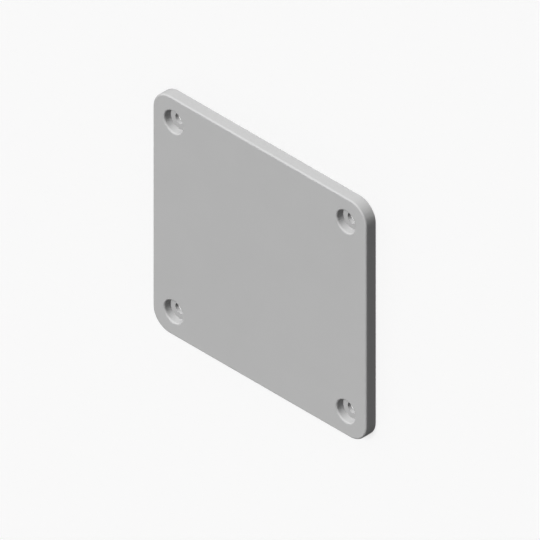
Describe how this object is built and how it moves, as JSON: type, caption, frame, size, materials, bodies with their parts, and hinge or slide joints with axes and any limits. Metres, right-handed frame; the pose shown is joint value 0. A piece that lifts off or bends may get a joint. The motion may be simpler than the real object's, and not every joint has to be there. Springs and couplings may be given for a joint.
{
  "type": "cover plate",
  "caption": "Flat rectangular cover plate with rounded corners and softly rounded edges, held by low-head screws sunk in counterbored corner holes.",
  "frame": {"origin": "centre of the flat back face", "axes": "+X along the 130 mm width, +Y along the 125 mm height, +Z out of the front face, so the plate lies on its back"},
  "size_m": [0.13, 0.125, 0.006],
  "materials": {
    "plate": "fine bead-blasted and clear anodised, matt neutral light grey"
  },
  "bodies": {
    "root": {"cover_plate": "plate"}
  },
  "joints": []
}
